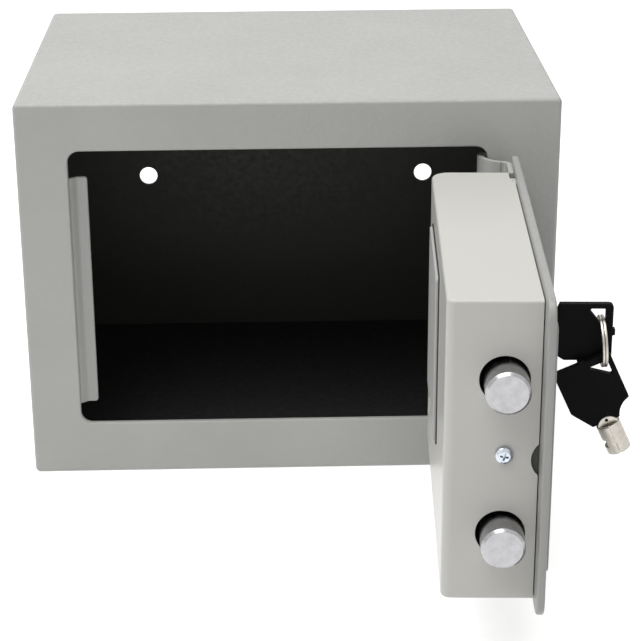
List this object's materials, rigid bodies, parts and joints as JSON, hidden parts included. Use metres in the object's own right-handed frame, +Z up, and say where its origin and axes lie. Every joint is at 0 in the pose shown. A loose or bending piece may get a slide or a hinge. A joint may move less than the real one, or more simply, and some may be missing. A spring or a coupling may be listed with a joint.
{
  "type": "safe deposit box",
  "caption": "Small steel safe with its hinged door open: a keypad and knob door whose inner box slides two round bolts, with an override lock, tubular keys on a ring and a padded floor.",
  "frame": {"origin": "centre of the cabinet's underside", "axes": "+Z up, +Y from the door opening to the back panel, +X towards the hinge side; the door is drawn open by 87.4 degrees, as in the picture"},
  "size_m": [0.2474, 0.3499, 0.17],
  "materials": {
    "cabinet_paint": "fine textured powder coat, satin",
    "inner_paint": "dark satin paint",
    "mat_fabric": "fine ribbed pile, matt",
    "box_paint": "smooth satin paint",
    "panel_plastic": "fine grain",
    "button_plastic": "satin",
    "knob_plastic": "satin",
    "black_plastic": "fine grain",
    "lens_plastic": "clear gloss",
    "board_laminate": "satin",
    "zinc_steel": "zinc plated",
    "screw_zinc": "bright zinc",
    "bolt_chrome": "polished with a satin turned side",
    "lock_chrome": "polished",
    "key_nickel": "satin nickel",
    "key_black": "moulded, half gloss",
    "bush_brass": "turned",
    "coil_steel": "yellow zinc plated",
    "cell_wrap": "plain printed-free wrap",
    "contact_steel": "nickel plated",
    "reset_red": "gloss",
    "lead_red": "smooth insulation"
  },
  "bodies": {
    "cabinet": {"cabinet_shell": "cabinet_paint", "back_panel": "inner_paint", "front_frame": "cabinet_paint", "strike_flange": "cabinet_paint", "floor_mat": "mat_fabric", "hinge_tabs": "cabinet_paint"},
    "door": {"hinge_pin": "zinc_steel", "hinge_arm": "cabinet_paint", "door_plate": "cabinet_paint", "door_box": "box_paint", "box_bracket": "zinc_steel", "box_screw": "screw_zinc", "front_panel": "panel_plastic", "status_lenses": "lens_plastic", "keypad_board": "board_laminate", "battery_case": "black_plastic", "battery_contacts": "contact_steel", "battery_cells": "cell_wrap", "guide_screws": "zinc_steel", "knob_bush": "bush_brass", "solenoid": "coil_steel", "solenoid_screws": "zinc_steel", "lock_housing": "lock_chrome", "lock_nut": "zinc_steel", "reset_switch": "black_plastic", "wiring": "lead_red"},
    "bolts": {"bolt_carrier": "zinc_steel", "upper_bolt": "bolt_chrome", "lower_bolt": "bolt_chrome"},
    "knob": {"knob": "knob_plastic", "knob_shaft": "zinc_steel", "drive_cam": "zinc_steel"},
    "plunger": {"solenoid_plunger": "zinc_steel"},
    "battery_cover": {"battery_cover": "black_plastic"},
    "lock_plug": {"lock_plug": "lock_chrome", "lock_cam": "zinc_steel"},
    "key": {"key_head": "key_black", "key_tube": "key_nickel"},
    "ring": {"split_ring": "key_nickel"},
    "spare_key": {"spare_key_head": "key_black", "spare_key_tube": "key_nickel"},
    "reset_button": {"reset_button": "reset_red"},
    "button_1": {"button_1": "button_plastic"},
    "button_2": {"button_2": "button_plastic"},
    "button_3": {"button_3": "button_plastic"},
    "button_4": {"button_4": "button_plastic"},
    "button_5": {"button_5": "button_plastic"},
    "button_6": {"button_6": "button_plastic"},
    "button_7": {"button_7": "button_plastic"},
    "button_8": {"button_8": "button_plastic"},
    "button_9": {"button_9": "button_plastic"},
    "button_clear": {"button_clear": "button_plastic"},
    "button_0": {"button_0": "button_plastic"},
    "button_enter": {"button_enter": "button_plastic"}
  },
  "joints": [
    {"name": "door_swing", "type": "hinge", "parent": "cabinet", "child": "door", "pos_m": [0.0925, -0.0808, 0.087], "axis": [0, 0, 1], "range_deg": [-87.4, 10]},
    {"name": "knob_turn", "type": "hinge", "parent": "door", "child": "knob", "pos_m": [0.10862, -0.12708, 0.0799], "axis": [0.999, -0.0454, 0], "range_deg": [0, 60]},
    {"name": "bolt_slide", "type": "slide", "parent": "door", "child": "bolts", "axis": [0.0454, 0.999, 0], "range_m": [0, 0.012]},
    {"name": "plunger_drop", "type": "slide", "parent": "door", "child": "plunger", "axis": [0, 0, -1], "range_m": [0, 0.004]},
    {"name": "button_1_press", "type": "slide", "parent": "door", "child": "button_1", "axis": [-0.999, 0.0454, 0], "range_m": [0, 0.0006], "stiffness_N_per_m": 1500, "springref_m": -0.0002},
    {"name": "button_2_press", "type": "slide", "parent": "door", "child": "button_2", "axis": [-0.999, 0.0454, 0], "range_m": [0, 0.0006], "stiffness_N_per_m": 1500, "springref_m": -0.0002},
    {"name": "button_3_press", "type": "slide", "parent": "door", "child": "button_3", "axis": [-0.999, 0.0454, 0], "range_m": [0, 0.0006], "stiffness_N_per_m": 1500, "springref_m": -0.0002},
    {"name": "button_4_press", "type": "slide", "parent": "door", "child": "button_4", "axis": [-0.999, 0.0454, 0], "range_m": [0, 0.0006], "stiffness_N_per_m": 1500, "springref_m": -0.0002},
    {"name": "button_5_press", "type": "slide", "parent": "door", "child": "button_5", "axis": [-0.999, 0.0454, 0], "range_m": [0, 0.0006], "stiffness_N_per_m": 1500, "springref_m": -0.0002},
    {"name": "button_6_press", "type": "slide", "parent": "door", "child": "button_6", "axis": [-0.999, 0.0454, 0], "range_m": [0, 0.0006], "stiffness_N_per_m": 1500, "springref_m": -0.0002},
    {"name": "button_7_press", "type": "slide", "parent": "door", "child": "button_7", "axis": [-0.999, 0.0454, 0], "range_m": [0, 0.0006], "stiffness_N_per_m": 1500, "springref_m": -0.0002},
    {"name": "button_8_press", "type": "slide", "parent": "door", "child": "button_8", "axis": [-0.999, 0.0454, 0], "range_m": [0, 0.0006], "stiffness_N_per_m": 1500, "springref_m": -0.0002},
    {"name": "button_9_press", "type": "slide", "parent": "door", "child": "button_9", "axis": [-0.999, 0.0454, 0], "range_m": [0, 0.0006], "stiffness_N_per_m": 1500, "springref_m": -0.0002},
    {"name": "button_clear_press", "type": "slide", "parent": "door", "child": "button_clear", "axis": [-0.999, 0.0454, 0], "range_m": [0, 0.0006], "stiffness_N_per_m": 1500, "springref_m": -0.0002},
    {"name": "button_0_press", "type": "slide", "parent": "door", "child": "button_0", "axis": [-0.999, 0.0454, 0], "range_m": [0, 0.0006], "stiffness_N_per_m": 1500, "springref_m": -0.0002},
    {"name": "button_enter_press", "type": "slide", "parent": "door", "child": "button_enter", "axis": [-0.999, 0.0454, 0], "range_m": [0, 0.0006], "stiffness_N_per_m": 1500, "springref_m": -0.0002},
    {"name": "reset_press", "type": "slide", "parent": "door", "child": "reset_button", "axis": [0.999, -0.0454, 0], "range_m": [0, 0.001], "stiffness_N_per_m": 900, "springref_m": -0.0002},
    {"name": "battery_cover_swing", "type": "hinge", "parent": "door", "child": "battery_cover", "pos_m": [0.05418, -0.16865, 0.1331], "axis": [0.0454, 0.999, 0], "range_deg": [0, 100]},
    {"name": "lock_turn", "type": "hinge", "parent": "door", "child": "lock_plug", "pos_m": [0.09731, -0.17762, 0.1027], "axis": [-0.999, 0.0454, 0], "range_deg": [0, 90]},
    {"name": "key_withdraw", "type": "slide", "parent": "lock_plug", "child": "key", "axis": [0.999, -0.0454, 0], "range_m": [0, 0.015]},
    {"name": "ring_swing", "type": "hinge", "parent": "key", "child": "ring", "pos_m": [0.11904, -0.17861, 0.1082], "axis": [0.0454, 0.999, 0], "range_deg": [-10, 10]},
    {"name": "spare_swing", "type": "hinge", "parent": "ring", "child": "spare_key", "pos_m": [0.12033, -0.18227, 0.08971], "axis": [0.0454, 0.999, 0], "range_deg": [-20, 20]}
  ],
  "couplings": [
    {"joint": "knob_turn", "follows": "bolt_slide", "rad_per_m": 87.26}
  ]
}
